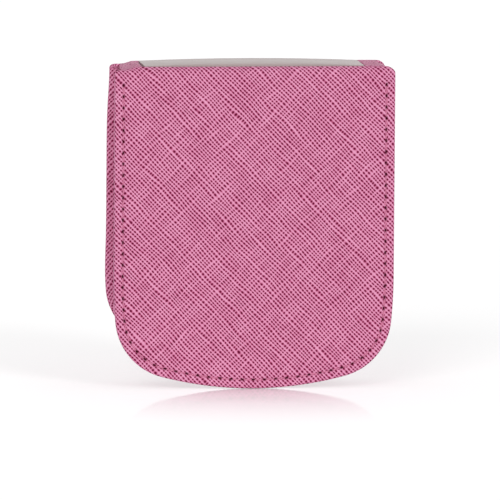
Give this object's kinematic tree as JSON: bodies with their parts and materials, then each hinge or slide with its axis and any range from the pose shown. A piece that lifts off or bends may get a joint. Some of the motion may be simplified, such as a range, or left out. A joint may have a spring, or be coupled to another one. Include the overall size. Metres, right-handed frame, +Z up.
{
  "type": "contact lens travel case",
  "caption": "Folding leatherette travel case for contact lenses, with a flap carried by end straps and a tray for the kit.",
  "frame": {"origin": "under the middle of the closed case, at the lowest point of the front flap", "axes": "+X to the right seen from the front, +Y to the back panel, +Z up to the top fold"},
  "size_m": [0.088, 0.0241, 0.1017],
  "materials": {
    "leatherette": "cross-hatched embossed, semi-matte",
    "thread": "twisted sewing thread",
    "board": "grey stiffening board",
    "lining": "fine woven lining",
    "mirror": "polished",
    "frame_plastic": "gloss",
    "magnet": "nickel plated",
    "tray_plastic": "smooth satin",
    "insert_foam": "velvety flocked foam",
    "container_plastic": "moulded, gloss",
    "cap_white": "moulded, satin",
    "cap_pink": "moulded, satin",
    "seal": "soft",
    "bottle_plastic": "milky, translucent",
    "nozzle_plastic": "milky",
    "tool_plastic": "moulded, clear white",
    "soft_tip": "soft silicone"
  },
  "bodies": {
    "case": {"back_skin": "leatherette", "back_board": "board", "back_lining": "lining", "back_thread": "thread", "side_band": "leatherette", "tray": "tray_plastic", "tray_magnet": "magnet", "insert_top": "insert_foam", "insert_middle": "insert_foam", "insert_base": "insert_foam", "lens_container": "container_plastic", "bottle": "bottle_plastic", "bottle_nozzle": "nozzle_plastic", "tweezers_tail": "tool_plastic", "inserter_stick": "tool_plastic", "inserter_cup": "soft_tip"},
    "spine": {"left_strap": "leatherette", "left_strap_lining": "lining", "right_strap": "leatherette", "right_strap_lining": "lining"},
    "flap": {"flap_skin": "leatherette", "flap_board": "board", "flap_lining": "lining", "flap_thread": "thread", "mirror": "mirror", "mirror_frame": "frame_plastic", "flap_magnet": "magnet"},
    "left_seal": {"left_seal": "seal"},
    "left_cap": {"left_cap": "cap_white"},
    "right_seal": {"right_seal": "seal"},
    "right_cap": {"right_cap": "cap_pink"},
    "bottle_seal": {"bottle_cap_seal": "seal"},
    "bottle_cap": {"bottle_cap": "cap_pink"},
    "upper_arm": {"upper_arm": "tool_plastic", "upper_tip": "soft_tip"},
    "lower_arm": {"lower_arm": "tool_plastic", "lower_tip": "soft_tip"}
  },
  "joints": [
    {"name": "spine_fold", "type": "hinge", "parent": "case", "child": "spine", "pos_m": [0, 0.0096, 0.0986], "axis": [-1, 0, 0], "range_deg": [0, 90]},
    {"name": "flap_fold", "type": "hinge", "parent": "spine", "child": "flap", "pos_m": [0, -0.0096, 0.0986], "axis": [-1, 0, 0], "range_deg": [0, 90]},
    {"name": "left_cap_lift", "type": "slide", "parent": "case", "child": "left_seal", "axis": [0, -1, 0], "range_m": [0, 0.0024]},
    {"name": "left_cap_turn", "type": "hinge", "parent": "left_seal", "child": "left_cap", "pos_m": [-0.0155, -0.0028, 0.0794], "axis": [0, -1, 0], "range_deg": [0, 300]},
    {"name": "right_cap_lift", "type": "slide", "parent": "case", "child": "right_seal", "axis": [0, -1, 0], "range_m": [0, 0.0024]},
    {"name": "right_cap_turn", "type": "hinge", "parent": "right_seal", "child": "right_cap", "pos_m": [0.0155, -0.0028, 0.0794], "axis": [0, -1, 0], "range_deg": [0, 300]},
    {"name": "bottle_cap_lift", "type": "slide", "parent": "case", "child": "bottle_seal", "axis": [1, 0, 0], "range_m": [0, 0.0024]},
    {"name": "bottle_cap_turn", "type": "hinge", "parent": "bottle_seal", "child": "bottle_cap", "pos_m": [0.0225, 0.0006, 0.0521], "axis": [1, 0, 0], "range_deg": [0, 300]},
    {"name": "upper_arm_squeeze", "type": "hinge", "parent": "case", "child": "upper_arm", "pos_m": [-0.0209, 0.0003, 0.03705], "axis": [0, 1, 0], "range_deg": [0, 3], "stiffness_Nm_per_rad": 0.02, "springref_deg": -3.44},
    {"name": "lower_arm_squeeze", "type": "hinge", "parent": "case", "child": "lower_arm", "pos_m": [-0.0209, 0.0003, 0.03435], "axis": [0, -1, 0], "range_deg": [0, 3], "stiffness_Nm_per_rad": 0.02, "springref_deg": -3.44}
  ],
  "couplings": [
    {"joint": "left_cap_turn", "follows": "left_cap_lift", "rad_per_m": 2181.7},
    {"joint": "right_cap_turn", "follows": "right_cap_lift", "rad_per_m": 2181.7},
    {"joint": "bottle_cap_turn", "follows": "bottle_cap_lift", "rad_per_m": 2181.7},
    {"joint": "lower_arm_squeeze", "follows": "upper_arm_squeeze", "ratio": 1}
  ]
}
